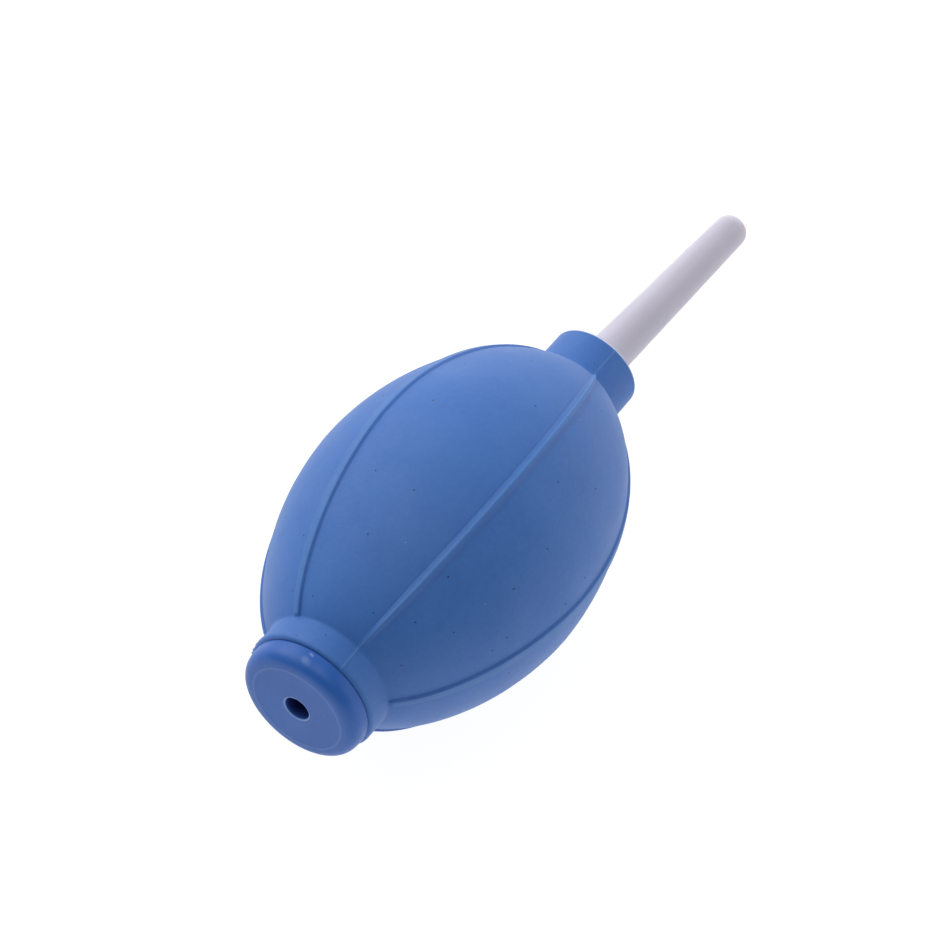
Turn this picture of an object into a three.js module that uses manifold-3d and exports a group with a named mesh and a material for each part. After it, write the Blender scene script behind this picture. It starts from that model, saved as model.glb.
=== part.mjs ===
// A hand-squeezed rubber air blower: a ribbed bulb lying on its side, a tapered blowing nozzle pressed
// into its front collar, and a one-way inlet valve pressed into its rear neck.
//
// Millimetres, +Z up. The bulb's axis runs along +X from the inlet plug to the nozzle. Distances along
// that axis are stations, counted from the plug's flat outer face. Angles round the axis are counted
// from straight up towards -Y. The origin is on the table, under the middle of the whole length.

import * as THREE from "three";
import { mergeVertices } from "three/addons/utils/BufferGeometryUtils.js";
import Module from "manifold-3d";

const wasm = await Module();
wasm.setup();

const DEG = Math.PI / 180;
const GAP = 0.3; // running gap between neighbouring pieces

// Bulb body: two tapering halves that meet at the widest station. Each half's outline closes at its
// reach; power and taper of 2 and 0.5 would make it an ellipse, and other values make it more pointed.
const BELLY_RADIUS = 24.3;
const BELLY_STATION = 40.4;
const REAR_HALF = { reach: 36.2, power: 1.8, taper: 0.5 };
const FRONT_HALF = { reach: 38.4, power: 1.9, taper: 0.57 };
const WALL = 3.0;
const REST_FLAT = 0.4; // how far the soft wall is pressed flat where it lies on the table

// Rear neck, which holds the inlet plug, and front collar, which holds the nozzle.
const NECK_RADIUS = 11.2;
const NECK_MOUTH = 3.8; // station of the neck's open end
const NECK_BORE = 8.7;
const NECK_BORE_END = 11.5;
const COLLAR_RADIUS = 7.7;
const COLLAR_RIM = 82.7; // station of the collar's open end
const COLLAR_BORE = 4.7;
const COLLAR_WALL_START = 73;
const LIP = 0.5; // rounding of the rubber lips

// Ribs
const RIB_COUNT = 6;
const RIB_FIRST_ANGLE = 30 * DEG;
const RIB_WIDTH = 2.2;
const RIB_HEIGHT = 0.45;
const RIB_ROOT = 0.8; // how deep a rib is sunk into the wall before it is joined

// Thumb wall: the part of the bulb's top that a thumb pushes in.
const THUMB_HALF_LENGTH = 19;
const THUMB_HALF_WIDTH = 9.8;

// Inlet plug
const PLUG_RADIUS = 10.6;
const PLUG_FLAT_RADIUS = 8.2;
const PLUG_CAP_LENGTH = NECK_MOUTH - GAP;
const PLUG_EDGE_LENGTH = 2.7; // length of the rounding from the side to the flat face
const INLET_RADIUS = 2.15;
const INLET_CHAMFER = 0.25;
const STEM_RADIUS = 8.0;
const STEM_BARB_RADIUS = NECK_BORE - GAP;
const STEM_END = 13.6;
const POCKET_RADIUS = 4.9; // round the disc
const POCKET_FLOOR = 4.6;
const SEAT_RADIUS = 3.2;
const SEAT_HEIGHT = 0.6;
const CAGE_POCKET_RADIUS = 6.0;
const SNAP_LIP_RADIUS = 5.5;
const SNAP_LIP_LENGTH = 0.7;

// Valve disc and the cage that stops it
const DISC_RADIUS = 4.1;
const DISC_THICKNESS = 0.8;
const DISC_CLEARANCE = 0.1; // at each end of its travel
const DISC_TRAVEL = 1.0;
const CAGE_START = POCKET_FLOOR + SEAT_HEIGHT + DISC_THICKNESS + DISC_TRAVEL + 2 * DISC_CLEARANCE;
const CAGE_RADIUS = CAGE_POCKET_RADIUS - GAP;
const CAGE_BORE = 4.6;
const CAGE_HUB_RADIUS = 1.3;
const CAGE_SPOKES = 3;
const CAGE_SPOKE_WIDTH = 1.2;
const CAGE_SPOKE_DEPTH = 1.5;

// Nozzle, measured along its own axis from the collar's rim
const NOZZLE_LENGTH = 38.25;
const NOZZLE_BASE_RADIUS = 3.6;
const NOZZLE_TIP_RADIUS = 2.7;
const NOZZLE_LEAN = 3.1 * DEG; // it sits a little askew in the soft collar, towards -Y
const NOZZLE_OFFSET = 0.17; // how far off the bulb's axis it leaves the rim, towards -Y
const NOZZLE_STEM_LENGTH = 12;
const NOZZLE_STEM_RADIUS = 3.95;
const NOZZLE_BARB_RADIUS = COLLAR_BORE - GAP;
const FLANGE_RADIUS = 5.1;
const FLANGE_THICKNESS = 0.8;
const FLANGE_START = 0.7; // clear of the rim on the side the nozzle leans to
const OUTLET_RADIUS = 1.2;
const NOZZLE_INNER_RADIUS = 2.6; // of the air way at the stem's inner end

// Facets
const BULB_SEGMENTS = 48;
const PLUG_SEGMENTS = 40;
const NOZZLE_SEGMENTS = 32;
const SMALL_SEGMENTS = 32;
const OUTER_STEPS = 11; // stations in each half of the bulb's outside
const INNER_STEPS = 7;

// Placement
const AXIS_HEIGHT = BELLY_RADIUS - REST_FLAT;
const TIP_STATION = COLLAR_RIM + NOZZLE_LENGTH * Math.cos(NOZZLE_LEAN);
const MIDDLE_STATION = TIP_STATION / 2;

// ---- shared helpers ----

/** Radius of the bulb's outside at a station, without its ribs. */
function bulbRadius(station) {
  const { reach, power, taper } = station < BELLY_STATION ? REAR_HALF : FRONT_HALF;
  const share = Math.abs(station - BELLY_STATION) / reach;
  return BELLY_RADIUS * Math.max(0, 1 - share ** power) ** taper;
}

/** Station, in front of or behind the belly, where the bulb's outside has a given radius. */
function bulbStation(radius, side) {
  const { reach, power, taper } = side > 0 ? FRONT_HALF : REAR_HALF;
  return BELLY_STATION + side * reach * (1 - (radius / BELLY_RADIUS) ** (1 / taper)) ** (1 / power);
}

/** Stations from start to end, closer together near the start. */
function stationsBetween(start, end, steps) {
  return Array.from({ length: steps + 1 }, (_, i) => {
    const share = 1 - Math.cos((i / steps) * 0.5 * Math.PI);
    return start + (end - start) * share;
  });
}

/** Points (radius, station) on a quarter round from one corner direction to the next. */
function quarterRound(centre, radii, fromAngle, steps = 4) {
  return Array.from({ length: steps + 1 }, (_, i) => {
    const angle = fromAngle + ((i / steps) * Math.PI) / 2;
    return new THREE.Vector2(centre.x + radii.x * Math.cos(angle), centre.y + radii.y * Math.sin(angle));
  });
}

/** A closed solid turned round the +X axis from a profile of (radius, station) points. */
function turned(profile, segments) {
  const points = profile.map((p) => new THREE.Vector2(p.x, p.y));
  return new THREE.LatheGeometry(points, segments, Math.PI / segments).rotateZ(-Math.PI / 2);
}

/** A three.js geometry as a manifold solid; the faces are turned outwards if they point in. */
function toSolid(geometry) {
  const bare = geometry.index ? geometry.toNonIndexed() : geometry.clone();
  for (const name of Object.keys(bare.attributes)) {
    if (name !== "position") bare.deleteAttribute(name);
  }
  const merged = mergeVertices(bare, 1e-4);
  const corners = new Uint32Array(merged.index.array);
  const make = () =>
    new wasm.Manifold(
      new wasm.Mesh({ numProp: 3, vertProperties: merged.attributes.position.array, triVerts: corners }),
    );
  const solid = make();
  if (solid.volume() > 0) return solid;
  for (let i = 0; i < corners.length; i += 3) {
    [corners[i + 1], corners[i + 2]] = [corners[i + 2], corners[i + 1]];
  }
  return make();
}

/** A manifold solid as a three.js geometry. */
function toGeometry(solid) {
  const mesh = solid.getMesh();
  const positions = new Float32Array(mesh.numVert * 3);
  for (let i = 0; i < mesh.numVert; i++) {
    positions.set(mesh.vertProperties.subarray(i * mesh.numProp, i * mesh.numProp + 3), i * 3);
  }
  const geometry = new THREE.BufferGeometry();
  geometry.setAttribute("position", new THREE.BufferAttribute(positions, 3));
  geometry.setIndex(new THREE.BufferAttribute(new Uint32Array(mesh.triVerts), 1));
  geometry.computeVertexNormals();
  return geometry;
}

/** A named mesh made from a manifold solid. */
function piece(name, solid, material) {
  const mesh = new THREE.Mesh(toGeometry(solid), material);
  mesh.name = name;
  return mesh;
}

// ---- materials ----

const bulbRubber = new THREE.MeshStandardMaterial({ color: 0x3f6fb5, roughness: 0.62, metalness: 0 });
const plugPlastic = new THREE.MeshStandardMaterial({ color: 0x3d68b0, roughness: 0.38, metalness: 0 });
const nozzlePlastic = new THREE.MeshStandardMaterial({ color: 0xc9c8d2, roughness: 0.45, metalness: 0 });
const valveRubber = new THREE.MeshStandardMaterial({ color: 0x20242c, roughness: 0.6, metalness: 0 });
const cagePlastic = new THREE.MeshStandardMaterial({ color: 0xe4e4e0, roughness: 0.5, metalness: 0 });

// ---- bulb ----

/** The bulb's outside from the front collar's rim back to the rear mouth, as (radius, station). */
function bulbOutside() {
  const frontJoin = bulbStation(COLLAR_RADIUS, 1);
  const rearJoin = bulbStation(NECK_RADIUS, -1);
  const lip = new THREE.Vector2(LIP, LIP);
  const rim = new THREE.Vector2(COLLAR_RADIUS - LIP, COLLAR_RIM - LIP);
  const mouth = new THREE.Vector2(NECK_RADIUS - LIP, NECK_MOUTH + LIP);
  const atRadius = (s) => new THREE.Vector2(bulbRadius(s), s);
  return [
    ...quarterRound(rim, lip, 0, 3).reverse(),
    ...stationsBetween(frontJoin, BELLY_STATION, OUTER_STEPS).map(atRadius),
    ...stationsBetween(rearJoin, BELLY_STATION, OUTER_STEPS).map(atRadius).reverse().slice(1),
    ...quarterRound(mouth, lip, -Math.PI / 2, 3).reverse(),
  ];
}

/** The bulb's inside from the rear mouth forward to the front wall's middle, as (radius, station). */
function bulbInside() {
  const atRadius = (s) => new THREE.Vector2(bulbRadius(s) - WALL, s);
  return [
    new THREE.Vector2(NECK_BORE + LIP, NECK_MOUTH),
    new THREE.Vector2(NECK_BORE, NECK_MOUTH + LIP),
    new THREE.Vector2(NECK_BORE, NECK_BORE_END),
    ...stationsBetween(NECK_BORE_END, BELLY_STATION, INNER_STEPS).map(atRadius),
    ...stationsBetween(COLLAR_WALL_START, BELLY_STATION, INNER_STEPS).map(atRadius).reverse().slice(1),
    new THREE.Vector2(0, COLLAR_WALL_START),
  ];
}

/** One rib: a strip that follows the bulb's outline, standing RIB_HEIGHT proud of it. */
function rib(angle) {
  const stations = [
    ...stationsBetween(bulbStation(NECK_RADIUS, -1), BELLY_STATION, 9),
    ...stationsBetween(bulbStation(COLLAR_RADIUS, 1), BELLY_STATION, 9).reverse().slice(1),
  ];
  const outline = [
    ...stations.map((s) => new THREE.Vector2(s, bulbRadius(s) + RIB_HEIGHT)),
    ...stations.map((s) => new THREE.Vector2(s, bulbRadius(s) - RIB_ROOT)).reverse(),
  ];
  const strip = new THREE.ExtrudeGeometry(new THREE.Shape(outline), {
    depth: RIB_WIDTH,
    bevelEnabled: false,
  });
  // The strip is drawn in X (station) and Y (radius); a quarter turn brings its radius up to +Z.
  strip.translate(0, 0, -RIB_WIDTH / 2).rotateX(Math.PI / 2).rotateX(angle);
  return toSolid(strip);
}

/** An upright elliptical prism over the belly, from the bulb's axis upwards. */
function thumbPrism(grow) {
  const outline = new THREE.Shape();
  outline.absellipse(0, 0, THUMB_HALF_LENGTH + grow, THUMB_HALF_WIDTH + grow, 0, 2 * Math.PI);
  const prism = new THREE.ExtrudeGeometry(outline, {
    depth: BELLY_RADIUS + WALL,
    bevelEnabled: false,
    curveSegments: 20,
  });
  return toSolid(prism.translate(BELLY_STATION, 0, 0));
}

/** Everything below the table, which presses the bulb's lowest part flat. */
function belowTable() {
  const size = 4 * BELLY_RADIUS;
  const block = new THREE.BoxGeometry(size, size, size);
  return toSolid(block.translate(BELLY_STATION, 0, -AXIS_HEIGHT - size / 2));
}

/** The collar's bore, which leans with the nozzle. */
function collarBore() {
  const length = COLLAR_RIM - COLLAR_WALL_START + 4;
  const bore = new THREE.CylinderGeometry(COLLAR_BORE, COLLAR_BORE, length, NOZZLE_SEGMENTS);
  bore.rotateZ(-Math.PI / 2).translate(2 - length / 2, 0, 0);
  return toSolid(bore.rotateZ(-NOZZLE_LEAN).translate(COLLAR_RIM, -NOZZLE_OFFSET, 0));
}

function bulbPieces() {
  const profile = [new THREE.Vector2(0, COLLAR_RIM), ...bulbOutside(), ...bulbInside()];
  const wall = toSolid(turned(profile, BULB_SEGMENTS));
  let ribbed = wall.subtract(collarBore()).subtract(belowTable());
  for (let i = 0; i < RIB_COUNT; i++) {
    ribbed = ribbed.add(rib(RIB_FIRST_ANGLE + (i * 2 * Math.PI) / RIB_COUNT));
  }
  return [
    piece("bulb_shell", ribbed.subtract(thumbPrism(GAP)), bulbRubber),
    piece("bulb_thumb_wall", ribbed.intersect(thumbPrism(0)), bulbRubber),
  ];
}

// ---- inlet valve ----

/** The plug: a rounded cap with the inlet hole, and a barbed hollow stem that holds the valve. */
function inletPlug() {
  const edge = new THREE.Vector2(PLUG_RADIUS - PLUG_FLAT_RADIUS, PLUG_EDGE_LENGTH);
  const edgeCentre = new THREE.Vector2(PLUG_FLAT_RADIUS, PLUG_EDGE_LENGTH);
  const barbs = [5.0, 8.2].flatMap((s) => [
    new THREE.Vector2(STEM_RADIUS, s),
    new THREE.Vector2(STEM_BARB_RADIUS, s + 0.3),
    new THREE.Vector2(STEM_RADIUS, s + 1.8),
  ]);
  const profile = [
    new THREE.Vector2(INLET_RADIUS + INLET_CHAMFER, 0),
    ...quarterRound(edgeCentre, edge, -Math.PI / 2, 6),
    new THREE.Vector2(PLUG_RADIUS, PLUG_CAP_LENGTH),
    new THREE.Vector2(STEM_RADIUS, PLUG_CAP_LENGTH),
    ...barbs,
    new THREE.Vector2(STEM_RADIUS, STEM_END - 0.6),
    new THREE.Vector2(STEM_RADIUS - 0.6, STEM_END),
    new THREE.Vector2(SNAP_LIP_RADIUS + 0.4, STEM_END),
    new THREE.Vector2(SNAP_LIP_RADIUS, STEM_END - 0.3),
    new THREE.Vector2(SNAP_LIP_RADIUS, STEM_END - SNAP_LIP_LENGTH),
    new THREE.Vector2(CAGE_POCKET_RADIUS, STEM_END - SNAP_LIP_LENGTH),
    new THREE.Vector2(CAGE_POCKET_RADIUS, CAGE_START - GAP),
    new THREE.Vector2(POCKET_RADIUS, CAGE_START - GAP),
    new THREE.Vector2(POCKET_RADIUS, POCKET_FLOOR),
    new THREE.Vector2(SEAT_RADIUS, POCKET_FLOOR),
    new THREE.Vector2(SEAT_RADIUS, POCKET_FLOOR + SEAT_HEIGHT),
    new THREE.Vector2(INLET_RADIUS, POCKET_FLOOR + SEAT_HEIGHT),
    new THREE.Vector2(INLET_RADIUS, INLET_CHAMFER),
    new THREE.Vector2(INLET_RADIUS + INLET_CHAMFER, 0),
  ];
  return piece("inlet_plug", toSolid(turned(profile, PLUG_SEGMENTS)), plugPlastic);
}

/** The loose rubber disc that closes the inlet when the bulb is squeezed. */
function valveDisc() {
  const start = POCKET_FLOOR + SEAT_HEIGHT + DISC_CLEARANCE;
  const round = DISC_THICKNESS / 4;
  const profile = [
    new THREE.Vector2(0, start),
    new THREE.Vector2(DISC_RADIUS - round, start),
    new THREE.Vector2(DISC_RADIUS, start + round),
    new THREE.Vector2(DISC_RADIUS, start + DISC_THICKNESS - round),
    new THREE.Vector2(DISC_RADIUS - round, start + DISC_THICKNESS),
    new THREE.Vector2(0, start + DISC_THICKNESS),
  ];
  return piece("valve_disc", toSolid(turned(profile, SMALL_SEGMENTS)), valveRubber);
}

/** The snap-in ring whose spokes stop the disc and let the air pass. */
function valveCage() {
  const end = STEM_END - SNAP_LIP_LENGTH - GAP;
  const ring = [
    new THREE.Vector2(CAGE_BORE, CAGE_START),
    new THREE.Vector2(CAGE_RADIUS, CAGE_START),
    new THREE.Vector2(CAGE_RADIUS, end),
    new THREE.Vector2(CAGE_BORE, end),
    new THREE.Vector2(CAGE_BORE, CAGE_START),
  ];
  const hub = new THREE.CylinderGeometry(CAGE_HUB_RADIUS, CAGE_HUB_RADIUS, CAGE_SPOKE_DEPTH, 16);
  hub.rotateZ(-Math.PI / 2).translate(CAGE_START + CAGE_SPOKE_DEPTH / 2, 0, 0);
  let cage = toSolid(turned(ring, SMALL_SEGMENTS)).add(toSolid(hub));
  for (let i = 0; i < CAGE_SPOKES; i++) {
    const length = (CAGE_BORE + CAGE_RADIUS) / 2;
    const spoke = new THREE.BoxGeometry(CAGE_SPOKE_DEPTH, CAGE_SPOKE_WIDTH, length);
    spoke.translate(CAGE_START + CAGE_SPOKE_DEPTH / 2, 0, length / 2);
    spoke.rotateX((i * 2 * Math.PI) / CAGE_SPOKES);
    cage = cage.add(toSolid(spoke));
  }
  return piece("valve_cage", cage, cagePlastic);
}

// ---- nozzle ----

/** The nozzle: a tapered tube with a domed tip, a stop flange and a barbed stem. */
function nozzle() {
  const wallAt = (s) => NOZZLE_BASE_RADIUS + ((NOZZLE_TIP_RADIUS - NOZZLE_BASE_RADIUS) * s) / NOZZLE_LENGTH;
  const dome = new THREE.Vector2(NOZZLE_TIP_RADIUS - OUTLET_RADIUS, NOZZLE_TIP_RADIUS - OUTLET_RADIUS + 0.6);
  const domeCentre = new THREE.Vector2(OUTLET_RADIUS, NOZZLE_LENGTH - dome.y);
  const barbs = [-10.6, -7.0].flatMap((s) => [
    new THREE.Vector2(NOZZLE_STEM_RADIUS, s),
    new THREE.Vector2(NOZZLE_BARB_RADIUS, s + 1.6),
    new THREE.Vector2(NOZZLE_STEM_RADIUS, s + 1.9),
  ]);
  const profile = [
    new THREE.Vector2(NOZZLE_INNER_RADIUS, -NOZZLE_STEM_LENGTH),
    new THREE.Vector2(NOZZLE_STEM_RADIUS - 0.4, -NOZZLE_STEM_LENGTH),
    new THREE.Vector2(NOZZLE_STEM_RADIUS, -NOZZLE_STEM_LENGTH + 0.4),
    ...barbs,
    new THREE.Vector2(NOZZLE_STEM_RADIUS, FLANGE_START),
    new THREE.Vector2(FLANGE_RADIUS, FLANGE_START),
    new THREE.Vector2(FLANGE_RADIUS, FLANGE_START + FLANGE_THICKNESS),
    new THREE.Vector2(wallAt(FLANGE_START + FLANGE_THICKNESS), FLANGE_START + FLANGE_THICKNESS),
    new THREE.Vector2(wallAt(NOZZLE_LENGTH / 2), NOZZLE_LENGTH / 2),
    ...quarterRound(domeCentre, dome, 0, 6),
    new THREE.Vector2(OUTLET_RADIUS, NOZZLE_LENGTH - 6),
    new THREE.Vector2(NOZZLE_INNER_RADIUS, -NOZZLE_STEM_LENGTH),
  ];
  const mesh = piece("nozzle", toSolid(turned(profile, NOZZLE_SEGMENTS)), nozzlePlastic);
  mesh.position.set(COLLAR_RIM, -NOZZLE_OFFSET, 0);
  mesh.rotation.z = -NOZZLE_LEAN;
  return mesh;
}

// ---- assembly ----

const blower = new THREE.Group();
blower.add(...bulbPieces(), inletPlug(), valveDisc(), valveCage(), nozzle());
blower.position.set(-MIDDLE_STATION, 0, AXIS_HEIGHT);

export default blower;
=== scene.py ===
"""A hand-squeezed rubber air blower: a ribbed blue rubber bulb lying on its side, with a tapered plastic
nozzle in its front collar and a one-way inlet valve in its rear neck.

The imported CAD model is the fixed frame. Every piece here is a fine mesh that stands for one or two CAD
nodes. Shapes are drawn in millimetres: stations run along the bulb's axis from the plug's flat outer face,
and angles round it are counted from straight up towards -Y.
"""

import math

import bpy
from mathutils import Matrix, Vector, noise


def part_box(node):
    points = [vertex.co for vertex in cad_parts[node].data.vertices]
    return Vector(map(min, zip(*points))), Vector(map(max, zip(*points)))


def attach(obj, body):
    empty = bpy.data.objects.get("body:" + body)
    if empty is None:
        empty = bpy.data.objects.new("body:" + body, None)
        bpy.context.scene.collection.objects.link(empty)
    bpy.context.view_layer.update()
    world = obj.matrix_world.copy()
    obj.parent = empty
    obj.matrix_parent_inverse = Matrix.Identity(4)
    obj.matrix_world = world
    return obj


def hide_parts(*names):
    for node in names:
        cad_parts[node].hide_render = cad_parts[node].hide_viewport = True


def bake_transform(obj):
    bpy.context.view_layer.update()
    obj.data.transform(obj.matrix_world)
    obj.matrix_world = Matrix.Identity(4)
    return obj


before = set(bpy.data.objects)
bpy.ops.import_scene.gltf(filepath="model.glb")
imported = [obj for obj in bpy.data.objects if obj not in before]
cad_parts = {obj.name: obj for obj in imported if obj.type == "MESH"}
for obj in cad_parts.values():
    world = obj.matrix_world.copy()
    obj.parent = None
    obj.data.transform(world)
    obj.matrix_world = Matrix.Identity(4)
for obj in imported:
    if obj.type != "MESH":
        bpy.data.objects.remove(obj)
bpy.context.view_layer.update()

MM = 0.001
DEG = math.pi / 180

# ---- sizes, in millimetres: close to the CAD part's own, with the finer shapes added ----

PLUG_LOW, PLUG_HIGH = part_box("inlet_plug")
FACE_X = PLUG_LOW.x / MM
AXIS_Z = (PLUG_LOW.z + PLUG_HIGH.z) / 2 / MM

BELLY_RADIUS = 24.25
BELLY_STATION = 40.4
REAR_HALF = (36.2, 1.8, 0.5)  # reach, power and taper of the outline behind the belly
FRONT_HALF = (38.4, 1.9, 0.57)
WALL = 3.0

NECK_RADIUS = 11.0
NECK_MOUTH = 3.8
NECK_BORE = 8.7
NECK_BORE_END = 11.5
NECK_FILLET = 0.3
MOUTH_ROUND = 0.7
MOUTH_REACH = NECK_MOUTH + 1.5  # the lip's bead and ragged bits end before this station
BEAD_HEIGHT = 0.17  # a bead runs round the neck's lip
BEAD_MIDDLE = -45  # and is tallest and widest at this angle, in degrees
BEAD_SPREAD = 80
FLASH_STATION = NECK_MOUTH + 0.6
FLASH_HALF_LENGTH = 0.5
# Ragged bits of trimmed rubber left on the lip: angle and spread in degrees, and height
MOUTH_FLASH = (
    {"angle": -70, "height": 0.182, "spread": 1.6},
    {"angle": -74, "height": 0.338, "spread": 1.5},
    {"angle": -78, "height": 0.26, "spread": 1.7},
    {"angle": -83, "height": 0.364, "spread": 1.6},
    {"angle": -87, "height": 0.208, "spread": 2.0},
)

COLLAR_BASE_RADIUS = 7.57
COLLAR_RIM_RADIUS = 7.51
COLLAR_START = 76.0
COLLAR_RIM = 82.92
COLLAR_BORE = 4.7
COLLAR_WALL_START = 73.0
COLLAR_FILLET = 0.3
RIM_ROUND = 0.5
RIM_HIGHLIGHT_MIDDLE = -5  # a painted highlight lies on the rim's edge round this angle, in degrees
RIM_HIGHLIGHT_SPREAD = 75

RIB_SPACING = 60  # degrees
RIB_ANGLES = [30 + RIB_SPACING * i for i in range(6)]
RIB_DRIFT = 7.4 * DEG  # towards the collar, the side ribs drift apart, away from the first one
RIB_DRIFT_START = 32.0
RIB_DRIFT_END = 74.0
RIB_HALF_WIDTH = 1.12
RIB_SIDE_WIDTH = 0.42
RIB_HEIGHT = 0.42
PARTING_RIBS = (0, 3)  # the mould's parting line runs along these two, which are rounder
PARTING_CREST = 0.3  # how far their crest stands from the rib's middle
PARTING_LINE_HEIGHT = 0.09
PARTING_LINE_HALF_WIDTH = 0.2
PARTING_LINE_SPACING = 0.5  # between the fine lines on a parting rib
PARTING_LINES_REACH = 26  # they come out clearly over this length in front of the belly
RIB_OFFSETS = [-1.7, *(i * 0.1 for i in range(-14, 15)), 1.7]  # vertices across a rib, from its middle
SECTOR_STEPS = 14  # facets between one rib and the next
NO_RIB = 99.0  # stands for the distance from a rib's middle where there is no rib

PLUG_RADIUS = 10.54
PLUG_FLAT_RADIUS = 8.0
PLUG_EDGE_LENGTH = 2.75
PLUG_BACK = 3.7
HOLE_RADIUS = 2.15
STEM_RADIUS = 8.0
STEM_END = 13.6
CAGE_BORE = 6.0  # radius of the hole in the stem that holds the cage
PLUG_SHIFT = 0.12  # the plug and the soft neck round it sit this far off the axis
PLUG_SHIFT_ANGLE = 118 * DEG
# Small painted highlights on the plug's rounded edge
PAINTED_HIGHLIGHTS = (
    {"station": 3.05, "radius": 10.54, "angle": 4.0, "size": 0.35, "strength": 0.4},
    {"station": 2.95, "radius": 10.54, "angle": 6.0, "size": 0.35, "strength": 0.3},
    {"station": 1.8, "radius": 10.45, "angle": 2.5, "size": 0.8, "strength": 0.14},
    {"station": 1.6, "radius": 10.4, "angle": 5.0, "size": 0.9, "strength": 0.12},
)

LEAN = 3.1 * DEG
NOZZLE_OFFSET = 0.17  # how far off the bulb's axis it leaves the collar, towards -Y
NOZZLE_START = 82.7
NOZZLE_LENGTH = 38.23
NOZZLE_BASE_RADIUS = 3.6
NOZZLE_TIP_RADIUS = 2.72


# ---- mesh helpers ----


def blend_step(value):
    """0 below 0, 1 above 1, and a smooth rise between them."""
    t = min(max(value, 0.0), 1.0)
    return t * t * (3 - 2 * t)


def smooth_max(a, b, width):
    """The larger of two values, rounded where they cross."""
    h = max(width - abs(a - b), 0) / width
    return max(a, b) + h * h * width / 4


def rounded(corners, steps=6):
    """A polyline through (station, radius, rounding) corners, each rounded by that much along its sides."""
    out = []
    for i, (s, r, size) in enumerate(corners):
        here = Vector((s, r))
        before = Vector(corners[i - 1][:2])
        after = Vector(corners[(i + 1) % len(corners)][:2])
        if size <= 0:
            out.append(here)
            continue
        start = here + (before - here).normalized() * min(size, (before - here).length * 0.49)
        end = here + (after - here).normalized() * min(size, (after - here).length * 0.49)
        for k in range(steps + 1):
            t = k / steps
            out.append(start * (1 - t) ** 2 + here * (2 * t * (1 - t)) + end * t * t)
    return out


def densified(points, longest):
    """The closed polyline with its long sides split, so that no side is longer than asked."""
    out = []
    for i, here in enumerate(points):
        after = points[(i + 1) % len(points)]
        count = max(1, math.ceil((after - here).length / longest))
        out.extend(here.lerp(after, k / count) for k in range(count))
    return out


def new_object(name, vertices, faces, material, sharp_angle=40):
    """A smooth-shaded object from points in millimetres; edges sharper than the angle stay sharp."""
    mesh = bpy.data.meshes.new(name)
    mesh.from_pydata([Vector(v) * MM for v in vertices], [], faces)
    mesh.validate()
    mesh.polygons.foreach_set("use_smooth", [True] * len(mesh.polygons))
    mesh.set_sharp_from_angle(angle=sharp_angle * DEG)
    mesh.materials.append(material)
    obj = bpy.data.objects.new(name, mesh)
    bpy.context.scene.collection.objects.link(obj)
    return obj


def unroll(obj, spots):
    """A UV map in metres over the surface, from each vertex's (distance round, distance along) in mm.
    A face that crosses the seam keeps its corners together."""
    layer = obj.data.uv_layers.new(name="surface")
    for face in obj.data.polygons:
        corners = [spots[i] for i in face.vertices]
        low = min(u for u, _, _ in corners)
        for loop, (u, v, around) in zip(face.loop_indices, corners):
            near = u - around if u - low > around / 2 else u
            layer.data[loop].uv = (near * MM, v * MM)


def ring_faces(ring_count, ring_size, first=0):
    """Quads between neighbouring rings of a closed loop of rings."""
    faces = []
    for i in range(ring_count):
        a = first + i * ring_size
        b = first + ((i + 1) % ring_count) * ring_size
        for k in range(ring_size):
            n = (k + 1) % ring_size
            faces.append((a + k, a + n, b + n, b + k))
    return faces


def on_axis(station, radius, angle):
    """A point round the bulb's axis."""
    return (FACE_X + station, -radius * math.sin(angle), AXIS_Z + radius * math.cos(angle))


def plug_shifted(point, share=1.0):
    """The point moved off the axis as the plug is, or by a share of that."""
    x, y, z = point
    push = PLUG_SHIFT * share
    return (x, y - push * math.sin(PLUG_SHIFT_ANGLE), z + push * math.cos(PLUG_SHIFT_ANGLE))


def on_plug(station, radius, angle):
    """A point round the plug's axis."""
    return plug_shifted(on_axis(station, radius, angle))


def on_nozzle(along, radius, angle):
    """A point round the nozzle's leaning axis, which starts just inside the collar's rim."""
    x = along * math.cos(LEAN) - radius * math.sin(angle) * math.sin(LEAN)
    y = -NOZZLE_OFFSET - along * math.sin(LEAN) - radius * math.sin(angle) * math.cos(LEAN)
    return (FACE_X + NOZZLE_START + x, y, AXIS_Z + radius * math.cos(angle))


def turned(name, profile, place, material, segments=96, longest=1.5, uneven=0.0, sharp_angle=40):
    """A solid turned from a closed (station, radius) profile. Its facets are at most longest mm long, and
    uneven is the height of a slight moulded waviness, in mm."""
    vertices, spots = [], []
    points = densified(profile, longest)
    widest = max(r for _, r in points)
    along = 0.0
    for i, (s, r) in enumerate(points):
        along += (points[i] - points[i - 1]).length if i else 0.0
        for k in range(segments):
            spots.append((k / segments * 2 * math.pi * widest, along, 2 * math.pi * widest))
            angle = 2 * math.pi * k / segments
            wave = uneven * noise.noise(Vector((s * 0.15, math.cos(angle) * 1.3, math.sin(angle) * 1.3)))
            vertices.append(place(s, r - abs(wave), angle))
    obj = new_object(name, vertices, ring_faces(len(points), segments), material, sharp_angle)
    unroll(obj, spots)
    return obj


# ---- materials ----


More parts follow.
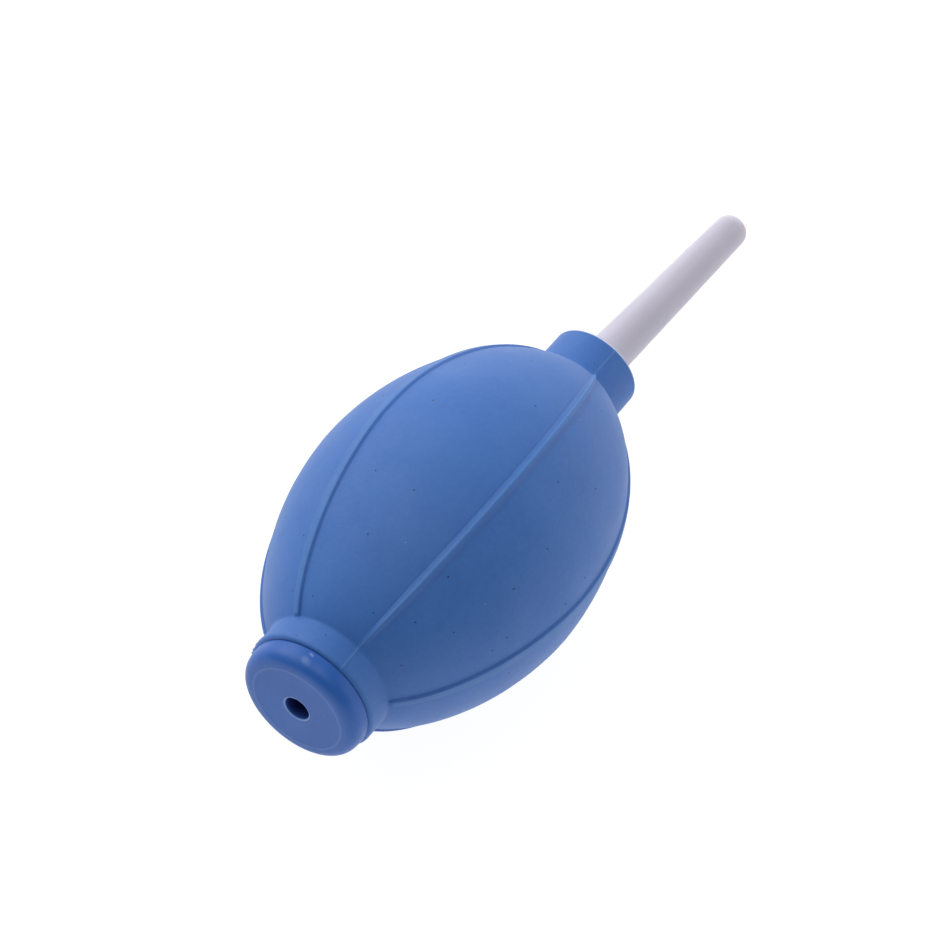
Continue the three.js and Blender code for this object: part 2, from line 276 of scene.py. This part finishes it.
class Nodes:
    """A short way to build a node tree."""

    def __init__(self, name):
        self.material = bpy.data.materials.new(name)
        self.material.use_nodes = True
        self.tree = self.material.node_tree
        self.shader = self.tree.nodes["Principled BSDF"]
        self.coords = self.tree.nodes.new("ShaderNodeTexCoord").outputs["Object"]

    def node(self, kind, inputs=(), **settings):
        made = self.tree.nodes.new(kind)
        for key, value in settings.items():
            setattr(made, key, value)
        for key, value in dict(inputs).items():
            if isinstance(value, bpy.types.NodeSocket):
                self.tree.links.new(value, made.inputs[key])
            else:
                made.inputs[key].default_value = value
        return made

    def noise(self, scale, detail=3.0, roughness=0.5):
        made = self.node(
            "ShaderNodeTexNoise",
            {"Vector": self.coords, "Scale": scale, "Detail": detail, "Roughness": roughness},
        )
        return made.outputs["Fac"]

    def specks(self, scale, share, size):
        """Small round spots: a share of the cells of a Voronoi texture holds one. Its radius is size times
        a cell's width."""
        flat = self.tree.nodes.new("ShaderNodeUVMap").outputs["UV"]
        cell = self.node("ShaderNodeTexVoronoi", {"Vector": flat, "Scale": scale}, voronoi_dimensions="2D")
        spot = self.ramp(self.math("MULTIPLY", cell.outputs["Distance"], 1 / size), [(0.6, 1), (1, 0)])
        chance = self.node("ShaderNodeSeparateColor", {"Color": cell.outputs["Color"]}).outputs["Red"]
        return self.math("MULTIPLY", spot, self.math("LESS_THAN", chance, share))

    def ramp(self, value, stops):
        made = self.node("ShaderNodeValToRGB", {"Fac": value})
        ramp = made.color_ramp
        ramp.elements[0].position, ramp.elements[1].position = stops[0][0], stops[-1][0]
        for position, _ in stops[1:-1]:
            ramp.elements.new(position)
        for element, (_, level) in zip(ramp.elements, stops):
            element.color = (*level, 1) if isinstance(level, tuple) else (level, level, level, 1)
        return made.outputs["Color"]

    def mark(self, centre, radius):
        """One soft round spot at a point in millimetres."""
        spot = tuple(part * MM for part in centre)
        apart = self.node("ShaderNodeVectorMath", {0: self.coords, 1: spot}, operation="DISTANCE")
        share = self.math("MULTIPLY", apart.outputs["Value"], 1 / (radius * MM))
        return self.ramp(share, [(0.2, 1), (1, 0)])

    def mix(self, factor, a, b):
        made = self.node("ShaderNodeMix", data_type="RGBA")
        for key, value in ((0, factor), (6, a), (7, b)):
            if isinstance(value, bpy.types.NodeSocket):
                self.tree.links.new(value, made.inputs[key])
            else:
                made.inputs[key].default_value = value if key == 0 else (*value, 1)
        return made.outputs[2]

    def attribute(self, name):
        return self.node("ShaderNodeAttribute", attribute_name=name).outputs["Fac"]

    def math(self, operation, a, b):
        return self.node("ShaderNodeMath", {0: a, 1: b}, operation=operation).outputs[0]

    def bump(self, height, distance_mm, strength=1.0, normal=None):
        inputs = {"Height": height, "Distance": distance_mm * MM, "Strength": strength}
        if normal is not None:
            inputs["Normal"] = normal
        return self.node("ShaderNodeBump", inputs).outputs["Normal"]

    def set(self, **values):
        names = {"color": "Base Color", "roughness": "Roughness", "normal": "Normal"}
        for key, value in values.items():
            socket = self.shader.inputs[names.get(key, key.replace("_", " "))]
            if isinstance(value, bpy.types.NodeSocket):
                self.tree.links.new(value, socket)
            else:
                socket.default_value = (*value, 1) if isinstance(value, tuple) else value
        return self.material


def bulb_rubber():
    """Matte moulded rubber: cloudy colour, paler rib crests that are partly wear and partly painted
    highlight, painted shade in the rib creases, a painted highlight on the collar's rim, a fine grain, and
    a few pinholes and specks."""
    m = Nodes("bulb_rubber")
    deep, mid, pale = (0.036, 0.150, 0.498), (0.0405, 0.163, 0.525), (0.048, 0.180, 0.553)
    cloud = m.ramp(m.noise(75, 4, 0.55), [(0.30, deep), (0.52, mid), (0.76, pale)])
    bloom = m.ramp(m.noise(24, 2, 0.5), [(0.45, 0.0), (0.75, 0.12)])
    color = m.mix(bloom, cloud, (0.085, 0.225, 0.58))
    mottle = m.ramp(m.noise(1100, 3, 0.6), [(0.36, 0.0), (0.66, 0.2)])
    color = m.mix(mottle, color, (0.075, 0.215, 0.58))
    # paler rib crests, ragged bits and parting line, partly wear and partly painted highlight, and a
    # painted highlight on the collar's rim
    color = m.mix(m.math("MULTIPLY", m.attribute("wear_and_highlight"), 0.32), color, (0.105, 0.265, 0.58))
    # painted shade in the rib creases and along the ribs' edges
    color = m.mix(m.math("MULTIPLY", m.attribute("painted_shade"), 0.30), color, (0.022, 0.085, 0.36))
    dust = m.specks(110, 0.10, 0.014)
    pits = m.specks(120, 0.42, 0.025)
    # painted highlight along the collar's rim edge
    color = m.mix(m.attribute("rim_highlight"), color, (0.62, 0.74, 0.95))
    color = m.mix(m.math("MULTIPLY", dust, 0.45), color, (0.40, 0.50, 0.75))
    color = m.mix(m.math("MULTIPLY", pits, 0.85), color, (0.008, 0.014, 0.07))
    grain = m.bump(m.noise(2600, 3, 0.6), 0.035, 0.8)
    skin = m.bump(m.noise(420, 4, 0.6), 0.06, 0.35, grain)
    roughness = m.ramp(m.noise(140, 3, 0.6), [(0.3, 0.54), (0.7, 0.66)])
    m.set(color=color, roughness=roughness, normal=skin)
    return m.set(Sheen_Weight=0.12, Sheen_Roughness=0.45, IOR=1.5)


def plug_plastic():
    """Blue moulded plastic, smoother than the rubber, with faint scuffs, painted highlights on its rounded
    edge, on a faint ring and on the lip round the hole, and painted shade inside the hole."""
    m = Nodes("plug_plastic")
    cloud = m.ramp(m.noise(120, 3, 0.5), [(0.35, (0.0246, 0.124, 0.478)), (0.7, (0.0312, 0.142, 0.528))])
    dust = m.specks(160, 0.12, 0.018)
    color = m.mix(m.math("MULTIPLY", dust, 0.4), cloud, (0.4, 0.5, 0.72))
    # painted highlight on the lip round the hole and on a faint ring on the face
    color = m.mix(m.math("MULTIPLY", m.attribute("wear_and_highlight"), 0.8), color, (0.30, 0.44, 0.76))
    # painted shade inside the inlet hole
    color = m.mix(m.math("MULTIPLY", m.attribute("shade"), 0.7), color, (0.022, 0.022, 0.13))
    # painted highlights on the plug's rounded edge
    for highlight in PAINTED_HIGHLIGHTS:
        spot = m.mark(on_plug(highlight["station"], highlight["radius"], highlight["angle"] * DEG), highlight["size"])
        color = m.mix(m.math("MULTIPLY", spot, highlight["strength"]), color, (0.45, 0.58, 0.86))
    scuffs = m.ramp(m.noise(700, 5, 0.7), [(0.4, 0.42), (0.7, 0.54)])
    m.set(color=color, roughness=scuffs, normal=m.bump(m.noise(900, 3, 0.6), 0.02, 0.4))
    return m.set(Specular_IOR_Level=0.32, Coat_Weight=0.1, Coat_Roughness=0.2, IOR=1.49)


def nozzle_plastic():
    """Off-white moulded plastic, satin, with faint draw lines along it."""
    m = Nodes("nozzle_plastic")
    m.coords = m.node("ShaderNodeMapping", {"Vector": m.coords, "Scale": (0.08, 1, 1)}).outputs[0]
    lines = m.noise(900, 3, 0.6)
    color = m.ramp(m.noise(260, 3, 0.5), [(0.35, (0.610, 0.585, 0.690)), (0.7, (0.660, 0.635, 0.745))])
    roughness = m.ramp(lines, [(0.35, 0.40), (0.7, 0.52)])
    m.set(color=color, roughness=roughness, normal=m.bump(lines, 0.02, 0.4))
    m.shader.inputs["Subsurface Radius"].default_value = (1.0, 0.8, 0.7)
    return m.set(Subsurface_Weight=0.6, Subsurface_Scale=0.004, Specular_IOR_Level=0.12, IOR=1.46)


def valve_rubber():
    """Thin black sheet rubber, slightly cloudy."""
    m = Nodes("valve_rubber")
    color = m.ramp(m.noise(500, 4, 0.6), [(0.35, (0.012, 0.014, 0.018)), (0.75, (0.035, 0.038, 0.045))])
    m.set(color=color, roughness=m.ramp(m.noise(800, 3, 0.6), [(0.3, 0.5), (0.7, 0.7)]))
    return m.set(normal=m.bump(m.noise(1500, 3, 0.6), 0.02, 0.5))


def cage_plastic():
    """Plain white moulded plastic."""
    m = Nodes("cage_plastic")
    color = m.ramp(m.noise(300, 3, 0.5), [(0.35, (0.70, 0.70, 0.66)), (0.7, (0.78, 0.78, 0.74))])
    m.set(color=color, roughness=m.ramp(m.noise(600, 3, 0.6), [(0.3, 0.42), (0.7, 0.56)]))
    return m.set(normal=m.bump(m.noise(1200, 3, 0.6), 0.015, 0.4))


# ---- bulb ----


def outline(station):
    """The bulb's outer radius, without its ribs."""
    rear = station < BELLY_STATION
    reach, power, taper = REAR_HALF if rear else FRONT_HALF
    share = min(abs(station - BELLY_STATION) / reach, 1)
    body = BELLY_RADIUS * (1 - share**power) ** taper
    if rear:
        return smooth_max(body, NECK_RADIUS, NECK_FILLET)
    along = max(station - COLLAR_START, 0) / (COLLAR_RIM - COLLAR_START)
    collar = COLLAR_BASE_RADIUS + (COLLAR_RIM_RADIUS - COLLAR_BASE_RADIUS) * along
    return smooth_max(body, collar, COLLAR_FILLET)


def junction(side):
    """The station where the bulb's body meets the neck (side -1) or the collar (side 1)."""
    reach, power, taper = FRONT_HALF if side > 0 else REAR_HALF
    radius = COLLAR_BASE_RADIUS if side > 0 else NECK_RADIUS
    return BELLY_STATION + side * reach * (1 - (radius / BELLY_RADIUS) ** (1 / taper)) ** (1 / power)


def spread(start, end, finest, coarsest):
    """Stations from start to end, finest apart at the ends and coarsest in the middle."""
    out = [start]
    while out[-1] < end:
        near = min(out[-1] - start, end - out[-1])
        out.append(out[-1] + min(coarsest, finest + 0.12 * near))
    out[-1] = end
    return out


REAR_JUNCTION = junction(-1)
FRONT_JUNCTION = junction(1)


def rib_share(station, parting=False):
    """How much of a rib's height stands at a station: 1 along the body, 0 past its ends. The parting
    ribs fade in slowly from the neck."""
    fade_in = (station - REAR_JUNCTION + 1.0) / 5.5 if parting else (station - REAR_JUNCTION + 0.2) / 0.6
    return blend_step(fade_in) * blend_step((FRONT_JUNCTION + 0.25 - station) / 0.5)


def rib_width(station):
    """Ribs narrow a little towards the neck, and more towards the collar."""
    rear = 0.62 + 0.38 * blend_step((station - REAR_JUNCTION) / 12)
    front = 0.45 + 0.55 * blend_step((FRONT_JUNCTION - station) / 10)
    return rear * front


def plain_rib(offset):
    """Height, pale wear with painted highlight on the crest, and painted shade along its edges, at a
    distance from a rib's middle, each from 0 to 1. Its shoulders are square."""
    side = abs(offset)
    height = blend_step((RIB_HALF_WIDTH - side) / RIB_SIDE_WIDTH) * (1 - 0.06 * min(side, 1) ** 2)
    return height, blend_step(1.7 - 2 * side), blend_step(1 - abs(side - RIB_HALF_WIDTH) / 0.25)


def parting_rib(offset, lined):
    """The same for a parting rib, which is rounder. Lined, from 0 to 1, is how clearly its fine lines
    show."""
    foot = 0.2 * blend_step((offset + 0.95) / 0.5)
    rise = foot + 0.8 * blend_step((offset + 0.75) / (PARTING_CREST + 0.75))
    fall = blend_step((1.4 - offset) / (1.4 - PARTING_CREST))
    wave = math.cos(offset / PARTING_LINE_SPACING * 2 * math.pi) * (abs(offset) < 0.95)
    striae = (0.05 + 0.1 * lined) * max(0.0, wave)
    wear_and_highlight = blend_step(1 - abs(offset + 0.05) / (0.6 + 0.25 * lined))
    # painted shade at the rib's feet and between its fine lines
    painted_shade = blend_step(1 - abs(offset + 1.0) / 0.2) + blend_step(1 - abs(offset - 1.0) / 0.5)
    return rise * fall + striae, wear_and_highlight, painted_shade + 0.8 * lined * max(0.0, -wave)


def signed_turn(angle):
    """An angle in radians as degrees from -180 to 180."""
    return (angle / DEG + 180) % 360 - 180


def bead_lift(station, angle):
    """Height of the bead round the neck's lip."""
    near = blend_step(1 - abs(signed_turn(angle) - BEAD_MIDDLE) / BEAD_SPREAD)
    end = NECK_MOUTH + 0.35 + 0.7 * near
    return BEAD_HEIGHT * near * blend_step((end - station) / 0.3 + 0.5)


def flash_lift(station, angle):
    """Height of the ragged bits of trimmed rubber on the neck's lip."""
    turn = signed_turn(angle)
    near = blend_step(1 - abs(station - FLASH_STATION) / FLASH_HALF_LENGTH)
    return near * sum(
        bit["height"] * blend_step(1 - abs(turn - bit["angle"]) / bit["spread"]) for bit in MOUTH_FLASH
    )


def bulb_rings():
    """Rings of the bulb's closed profile: (station, radius, outside?), outside first, then the hollow."""
    mouth_end = NECK_MOUTH + MOUTH_ROUND
    rim_start = COLLAR_RIM - RIM_ROUND
    quarter = [i / 6 * math.pi / 2 for i in range(7)]
    rings = []
    for a in quarter:
        s = NECK_MOUTH + MOUTH_ROUND * (1 - math.sin(a))
        rings.append((s, NECK_RADIUS - MOUTH_ROUND * (1 - math.cos(a)), True))
    rings.reverse()
    for start, end, finest, coarsest in (
        (mouth_end, NECK_MOUTH + 1.3, 0.08, 0.1),
        (NECK_MOUTH + 1.3, REAR_JUNCTION, 0.12, 0.3),
        (REAR_JUNCTION, FRONT_JUNCTION, 0.1, 0.7),
        (FRONT_JUNCTION, rim_start, 0.1, 0.35),
    ):
        rings += [(s, outline(s), True) for s in spread(start, end, finest, coarsest)[1:]]
    for a in quarter[1:]:
        s = rim_start + RIM_ROUND * math.sin(a)
        rings.append((s, COLLAR_RIM_RADIUS - RIM_ROUND * (1 - math.cos(a)), True))
    cavity = [BELLY_STATION + (COLLAR_WALL_START - BELLY_STATION) * math.cos(a) for a in quarter]
    cavity += [BELLY_STATION - (BELLY_STATION - NECK_BORE_END) * math.sin(a) for a in quarter[1:]]
    inner = [(COLLAR_RIM, COLLAR_BORE + 0.6, 0.2), (COLLAR_RIM, COLLAR_BORE, 0.25)]
    inner += [(COLLAR_WALL_START, COLLAR_BORE, 0.4)]
    inner += [(s, outline(s) - WALL, 1.0) for s in cavity]
    inner += [(NECK_BORE_END, NECK_BORE, 0.4), (NECK_MOUTH, NECK_BORE, 0.4)]
    inner += [(NECK_MOUTH, NECK_RADIUS - MOUTH_ROUND, 0)]
    hollow = densified(rounded(inner, 4), 2.0)
    end = max(i for i, p in enumerate(hollow) if p.x <= NECK_MOUTH + 1e-4)
    rings += [(p.x, p.y, False) for p in hollow[:end]]  # the point at end is the first ring again
    return rings


def rib_middle(degrees, station):
    """The angle of a rib's middle at a station."""
    drift = RIB_DRIFT * blend_step((station - RIB_DRIFT_START) / (RIB_DRIFT_END - RIB_DRIFT_START))
    return degrees * DEG + drift * math.sin((degrees - RIB_ANGLES[0]) * DEG)


def bulb_angles(station, radius):
    """Angles round one ring, each with its rib and its distance from that rib's middle in mm."""
    out = []
    for i, degrees in enumerate(RIB_ANGLES):
        middle = rib_middle(degrees, station)
        out += [(middle + d / radius, i, d) for d in RIB_OFFSETS]
        start = middle + RIB_OFFSETS[-1] / radius
        width = rib_middle(degrees + RIB_SPACING, station) + RIB_OFFSETS[0] / radius - start
        out += [(start + width * k / SECTOR_STEPS, i, NO_RIB) for k in range(1, SECTOR_STEPS)]
    return out


def outer_skin(station, radius, angle, rib, offset):
    """Lift off the smooth outline in mm, and pale wear with painted highlight and painted shade, each from
    0 to 1, at a point of the outside.
    """
    parting = rib in PARTING_RIBS
    share = rib_share(station, parting)
    across = offset / rib_width(station)
    if parting:
        lined = blend_step((station - BELLY_STATION) / PARTING_LINES_REACH)
        height, wear_and_highlight, painted_shade = parting_rib(across, lined)
    else:
        height, wear_and_highlight, painted_shade = plain_rib(across)
    lift = RIB_HEIGHT * share * height
    wear_and_highlight *= share
    if parting:
        line = blend_step(1 - abs(offset - 0.1) / PARTING_LINE_HALF_WIDTH)
        lift += PARTING_LINE_HEIGHT * line * (1 - 0.7 * share)
        # painted highlight along the parting line
        wear_and_highlight = max(wear_and_highlight, line * (1.6 - 0.6 * share))
    if station < MOUTH_REACH:
        flash = flash_lift(station, angle)
        lift += bead_lift(station, angle) + flash
        wear_and_highlight += 4 * flash
    # painted highlight on the collar's rim edge
    wear_and_highlight = max(wear_and_highlight, 1.5 * blend_step((station - COLLAR_RIM) / 0.3 + 1))
    where = Vector((station, radius * math.cos(angle), radius * math.sin(angle)))
    lift += 0.05 * (noise.noise(where * 0.09) - 0.6) * rib_share(station)
    return lift, wear_and_highlight, painted_shade * share


def bore_shift(station, radius):
    """How far the collar's bore is pushed towards +Y, to follow the leaning nozzle. It fades out inside."""
    shift = max(0.0, (COLLAR_RIM - station) * math.tan(LEAN) - NOZZLE_OFFSET)
    shift *= blend_step((COLLAR_WALL_START + 1 - station) / -2 + 1) if station < COLLAR_WALL_START else 1
    return shift * blend_step((COLLAR_BORE + 3 - radius) / 3)


def make_bulb(material):
    """The bulb as one closed skin. Its attributes mark pale wear with painted highlight on raised places,
    painted shade in sunken places, and a painted highlight on the collar's rim."""
    rings = bulb_rings()
    vertices, wear_and_highlights, painted_shades, rim_highlights, spots = [], [], [], [], []
    along = 0.0
    for index, (station, radius, outside) in enumerate(rings):
        before = rings[index - 1] if index else rings[0]
        along += math.hypot(station - before[0], radius - before[1])
        slope = (outline(station + 0.05) - outline(station - 0.05)) / 0.1
        tilt = math.hypot(1, slope)
        shift = 0.0 if outside else bore_shift(station, radius)
        neck = blend_step((REAR_JUNCTION + 2 - station) / 4)
        at_rim = outside and COLLAR_RIM - RIM_ROUND + 0.1 < station < COLLAR_RIM - 0.05
        for angle, rib, offset in bulb_angles(station, radius):
            lift, wear_and_highlight, painted_shade = 0.0, 0.0, 0.0
            if outside:
                lift, wear_and_highlight, painted_shade = outer_skin(station, radius, angle, rib, offset)
            s = station - lift * slope / tilt
            x, y, z = plug_shifted(on_axis(s, radius + lift / tilt, angle), neck)
            vertices.append((x, y + shift, max(z, 0.0)))
            wear_and_highlights.append(wear_and_highlight)
            painted_shades.append(painted_shade)
            # painted highlight along the collar's rim edge, strongest round one angle
            off_highlight = abs(signed_turn(angle) - RIM_HIGHLIGHT_MIDDLE) / RIM_HIGHLIGHT_SPREAD
            rim_highlights.append(0.85 * at_rim * blend_step(1.4 - off_highlight))
            turn = (angle / math.pi - 1) % 2 * math.pi
            spots.append((turn * BELLY_RADIUS, along, 2 * math.pi * BELLY_RADIUS))
    ring_size = len(vertices) // len(rings)
    obj = new_object("bulb", vertices, ring_faces(len(rings), ring_size), material, 50)
    unroll(obj, spots)
    for name, values in (("wear_and_highlight", wear_and_highlights), ("painted_shade", painted_shades), ("rim_highlight", rim_highlights)):
        layer = obj.data.attributes.new(name, "FLOAT", "POINT")
        layer.data.foreach_set("value", values)
    return obj


# ---- inlet valve ----


def make_plug(material):
    """Cap with a rounded edge and the inlet hole, and a barbed stem with the valve's pocket."""
    front = [
        (0.0, HOLE_RADIUS + 0.13, 0.04),
        (0.0, HOLE_RADIUS + 0.21, 0),
        (0.01, HOLE_RADIUS + 0.31, 0),
        (0.03, 5.0, 0),
        (0.03, PLUG_FLAT_RADIUS - 0.35, 0),
        (0.0, PLUG_FLAT_RADIUS, 0.1),
        (0.04, PLUG_FLAT_RADIUS + 0.3, 0),
    ]
    edge = []
    for k in range(2, 17):
        a = k / 16 * math.pi / 2
        station = PLUG_EDGE_LENGTH * (1 - math.cos(a) ** 0.8)
        edge.append((station, PLUG_FLAT_RADIUS + (PLUG_RADIUS - PLUG_FLAT_RADIUS) * math.sin(a) ** 0.8, 0))
    stem = [(PLUG_BACK, PLUG_RADIUS, 0.08), (PLUG_BACK, STEM_RADIUS, 0)]
    for s in (5.0, 8.2):  # two barbs
        stem += [(s, STEM_RADIUS, 0.05), (s + 0.3, STEM_RADIUS + 0.4, 0.12), (s + 1.8, STEM_RADIUS, 0.2)]
    stem += [(STEM_END, STEM_RADIUS, 0.6), (STEM_END, CAGE_BORE - 0.1, 0.1)]
    stem += [(13.3, 5.5, 0.1), (12.9, 5.5, 0.1)]  # lip that holds the cage in
    stem += [(12.9, CAGE_BORE, 0), (7.1, CAGE_BORE, 0)]
    stem += [(7.1, 4.9, 0.1), (4.6, 4.9, 0), (4.6, 3.2, 0)]  # pocket for the disc
    stem += [(5.2, 3.2, 0.12), (5.2, HOLE_RADIUS, 0.1), (0.15, HOLE_RADIUS, 0.05)]  # seat and inlet hole
    obj = turned("inlet_plug_fine", rounded(front + edge + stem), on_plug, material, 128, 0.8, 0.012, 46)
    _, middle_y, middle_z = on_plug(0, 0, 0)
    wear_and_highlights, shades = [], []
    for v in obj.data.vertices:
        station = v.co.x / MM - FACE_X
        r = math.hypot(v.co.y / MM - middle_y, v.co.z / MM - middle_z)
        # painted highlight on a faint ring round the flat face and on the lip round the hole
        ring = blend_step(1 - abs(r - PLUG_FLAT_RADIUS) / 0.3) * (station < 0.6)
        lip = blend_step((HOLE_RADIUS + 0.27 - r) / 0.08) * (station < 0.12)
        wear_and_highlights.append(max(0.2 * ring, lip))
        # painted shade inside the inlet hole
        shades.append(blend_step((station - 0.2) / 0.35) * (r < HOLE_RADIUS + 0.45))
    obj.data.attributes.new("wear_and_highlight", "FLOAT", "POINT").data.foreach_set("value", wear_and_highlights)
    obj.data.attributes.new("shade", "FLOAT", "POINT").data.foreach_set("value", shades)
    return obj


def make_disc(material):
    """A thin round disc with rounded edges."""
    profile = [(5.3, 0.01, 0), (5.3, 4.1, 0.2), (6.1, 4.1, 0.2), (6.1, 0.01, 0)]
    return turned("valve_disc_fine", rounded(profile, 4), on_axis, material, 64, 0.8)


def spoke_outline(hub, reach, half_width, arms=3):
    """Closed outline of straight spokes that meet in a round hub."""
    points = []
    for arm in range(arms):
        middle = arm * 2 * math.pi / arms
        outward = Vector((math.cos(middle), math.sin(middle)))
        sideways = Vector((-math.sin(middle), math.cos(middle)))
        for side in (-half_width, half_width):
            points.append((*(outward * reach + sideways * side), 0.0))
        corner = math.asin(half_width / hub)
        for k in range(5):
            a = middle + corner + (2 * math.pi / arms - 2 * corner) * k / 4
            points.append((hub * math.cos(a), hub * math.sin(a), 0.3 if k in (0, 4) else 0.0))
    return rounded(points, 4)


def make_cage(material):
    """A ring with three rounded spokes that meet in a hub."""
    start, end, depth = 7.2, 12.6, 1.5
    ring = [(start, 4.6, 0.15), (start, 5.7, 0.2), (end, 5.7, 0.2), (end, 4.6, 0.15)]
    points = densified(rounded(ring, 4), 0.8)
    segments = 72
    vertices = [on_axis(s, r, 2 * math.pi * k / segments) for s, r in points for k in range(segments)]
    faces = ring_faces(len(points), segments)
    star = spoke_outline(1.3, 5.1, 0.6)
    layers = ((0.0, 0.94), (0.12, 1.0), (depth - 0.12, 1.0), (depth, 0.94))  # slightly bevelled
    first = len(vertices)
    for along, scale in layers:
        vertices += [(FACE_X + start + along, -p.y * scale, AXIS_Z + p.x * scale) for p in star]
    n = len(star)
    for i in range(len(layers) - 1):
        a, b = first + i * n, first + (i + 1) * n
        faces += [(a + k, a + (k + 1) % n, b + (k + 1) % n, b + k) for k in range(n)]
    faces.append(tuple(first + k for k in reversed(range(n))))
    faces.append(tuple(first + (len(layers) - 1) * n + k for k in range(n)))
    return new_object("valve_cage_fine", vertices, faces, material)


# ---- nozzle ----


def nozzle_wall(along):
    """The nozzle's outer radius, which tapers from the collar to the tip."""
    return NOZZLE_BASE_RADIUS + (NOZZLE_TIP_RADIUS - NOZZLE_BASE_RADIUS) * along / NOZZLE_LENGTH


def make_nozzle(material):
    """A tapered tube with a domed tip, a stop flange and a barbed stem."""
    outlet, bore, stem, flange = 1.2, 2.6, 3.95, 5.1
    dome = NOZZLE_TIP_RADIUS - outlet + 0.6
    dome_start = NOZZLE_LENGTH - dome
    body = [(-12.0, bore, 0.15), (-12.0, stem, 0.4)]
    for s in (-10.6, -7.0):  # two barbs
        body += [(s, stem, 0.1), (s + 1.6, stem + 0.45, 0.12), (s + 1.9, stem, 0.1)]
    body += [(0.7, stem, 0), (0.7, flange, 0.2), (1.5, flange, 0.25), (1.5, nozzle_wall(1.5), 0.3)]
    body += [(s, nozzle_wall(s), 0) for s in (6, 12, 18, 24, 30, dome_start - 0.6)]
    for k in range(13):
        a = k / 12 * math.pi / 2
        radius = outlet + (nozzle_wall(dome_start) - outlet) * math.cos(a)
        body.append((dome_start + dome * math.sin(a), radius, 0))
    body.append((NOZZLE_LENGTH - 6, outlet, 0.5))  # the narrow outlet opens into the bore here
    return turned("nozzle_fine", rounded(body, 5), on_nozzle, material, 96, 1.2, 0.02, 46)


# ---- the object ----

bulb = make_bulb(bulb_rubber())
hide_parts("bulb_shell", "bulb_thumb_wall")
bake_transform(bulb)

for make, material, node, body in (
    (make_plug, plug_plastic, "inlet_plug", "inlet_valve"),
    (make_cage, cage_plastic, "valve_cage", "inlet_valve"),
    (make_disc, valve_rubber, "valve_disc", "disc"),
    (make_nozzle, nozzle_plastic, "nozzle", "nozzle"),
):
    obj = make(material())
    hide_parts(node)
    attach(obj, body)


# ---- floor, light and camera ----


def make_floor():
    """A large plain pale floor with a slight glow, as under a light tent."""
    half = 2500
    corners = [(x * half, y * half, -0.02) for x, y in ((-1, -1), (1, -1), (1, 1), (-1, 1))]
    m = Nodes("floor_paper")
    m.set(color=(0.15, 0.15, 0.15), roughness=0.9)
    m.set(Emission_Color=(1.0, 1.0, 1.0), Emission_Strength=0.95)
    floor = new_object("floor", corners, [(0, 1, 2, 3)], m.material)


def direction(azimuth, elevation):
    """Unit vector from the object, with azimuth 0 towards -Y and 90 towards +X."""
    a, e = azimuth * DEG, elevation * DEG
    return Vector((math.sin(a) * math.cos(e), -math.cos(a) * math.cos(e), math.sin(e)))


def soft_box(azimuth, elevation, power):
    """A soft square light aimed at the object."""
    distance, size = 1.2, 0.9  # metres
    away = direction(azimuth, elevation)
    name = f"soft_box_{azimuth}_{elevation}"
    data = bpy.data.lights.new(name, "AREA")
    data.shape = "SQUARE"
    data.size = size
    data.energy = power
    lamp = bpy.data.objects.new(name, data)
    lamp.location = away * distance + Vector((0, 0, AXIS_Z * MM))
    lamp.rotation_euler = away.to_track_quat("Z", "Y").to_euler()
    lamp.visible_camera = False
    bpy.context.scene.collection.objects.link(lamp)


def make_lights():
    """A light tent: soft boxes all round except on the camera's side, which stays darker."""
    for azimuth, elevation, power in (  # degrees, degrees and watts
        (34, 15, 2.8),
        (79, 15, 3.2),
        (124, 15, 3.4),
        (169, 15, 2.2),
        (79, 45, 0.6),
        (169, 45, 6.6),
        (214, 45, 2.2),
        (-56, 82, 5.0),
    ):
        soft_box(azimuth, elevation, power)
    world = bpy.data.worlds.new("studio")
    world.use_nodes = True
    tree = world.node_tree
    background = tree.nodes["Background"]
    background.inputs["Color"].default_value = (1, 1, 1, 1)
    seen = tree.nodes.new("ShaderNodeLightPath").outputs["Is Camera Ray"]
    tree.links.new(seen, background.inputs["Strength"])  # white behind the object, but gives no light
    bpy.context.scene.world = world


def make_camera():
    """A long lens that looks down on the plug end from the -X, -Y side."""
    distance = 1.0866  # metres
    away = direction(-56.3, 49.37)
    target = Vector((FACE_X + 53.6, 3.3, AXIS_Z)) * MM
    data = bpy.data.cameras.new("camera")
    data.sensor_width = 36
    data.lens = 265.3
    data.clip_end = 20
    camera = bpy.data.objects.new("camera", data)
    camera.location = target + away * distance
    camera.rotation_euler = away.to_track_quat("Z", "Y").to_euler()
    bpy.context.scene.collection.objects.link(camera)
    bpy.context.scene.camera = camera


make_floor()
make_lights()
make_camera()
bpy.context.scene.view_settings.view_transform = "Standard"
